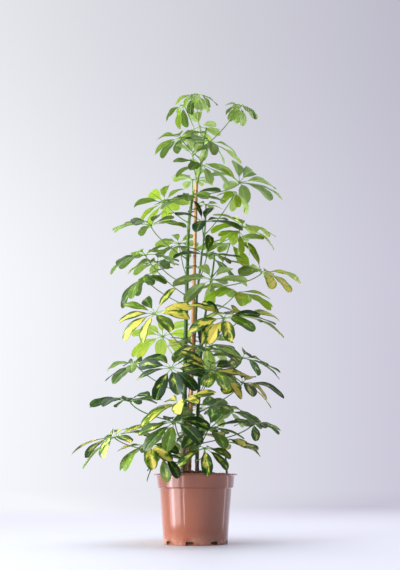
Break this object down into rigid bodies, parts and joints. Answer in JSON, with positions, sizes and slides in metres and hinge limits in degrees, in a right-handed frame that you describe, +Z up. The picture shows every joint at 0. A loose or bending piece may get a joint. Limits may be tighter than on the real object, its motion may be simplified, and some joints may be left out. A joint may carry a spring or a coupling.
{
  "type": "potted umbrella plant",
  "caption": "Tall umbrella plant with variegated fan-shaped leaves, tied to a bamboo cane in a round terracotta-coloured plastic nursery pot.",
  "frame": {"origin": "middle of the flat base of the pot", "axes": "+Z up along the pot and the stems, -Y towards the front, +X to the right seen from the front"},
  "size_m": [0.5404, 0.3994, 1.1179],
  "materials": {
    "pot_plastic": "gloss",
    "potting_soil": "matte",
    "bamboo": "satin",
    "plant_tie": "satin",
    "stem": "matte",
    "leaf": "satin"
  },
  "bodies": {
    "root": {"pot": "pot_plastic", "soil": "potting_soil", "cane": "bamboo", "tie_1": "plant_tie", "tie_2": "plant_tie", "stem_a": "stem", "stem_b": "stem", "stem_c": "stem", "stem_d": "stem", "leaf_a_01": "leaf", "leaf_a_02": "leaf", "leaf_a_03": "leaf", "leaf_a_04": "leaf", "leaf_a_05": "leaf", "leaf_a_06": "leaf", "leaf_a_07": "leaf", "leaf_a_08": "leaf", "leaf_a_09": "leaf", "leaf_a_10": "leaf", "leaf_b_01": "leaf", "leaf_a_11": "leaf", "leaf_a_12": "leaf", "leaf_b_02": "leaf", "leaf_a_13": "leaf", "leaf_b_03": "leaf", "leaf_a_14": "leaf", "leaf_b_04": "leaf", "leaf_c_01": "leaf", "leaf_a_15": "leaf", "leaf_a_16": "leaf", "leaf_b_05": "leaf", "leaf_c_02": "leaf", "leaf_a_17": "leaf", "leaf_c_03": "leaf", "leaf_c_04": "leaf", "leaf_c_05": "leaf", "leaf_a_18": "leaf", "leaf_b_06": "leaf", "leaf_a_19": "leaf", "leaf_b_07": "leaf", "leaf_c_06": "leaf", "leaf_c_07": "leaf", "leaf_c_08": "leaf", "leaf_a_20": "leaf", "leaf_a_21": "leaf", "leaf_c_09": "leaf", "leaf_c_10": "leaf", "leaf_a_22": "leaf", "leaf_a_23": "leaf", "leaf_c_11": "leaf", "leaf_b_08": "leaf", "leaf_a_24": "leaf", "leaf_c_12": "leaf", "leaf_c_13": "leaf", "leaf_a_25": "leaf", "leaf_b_09": "leaf", "leaf_a_26": "leaf", "leaf_c_14": "leaf", "leaf_a_27": "leaf"}
  },
  "joints": []
}
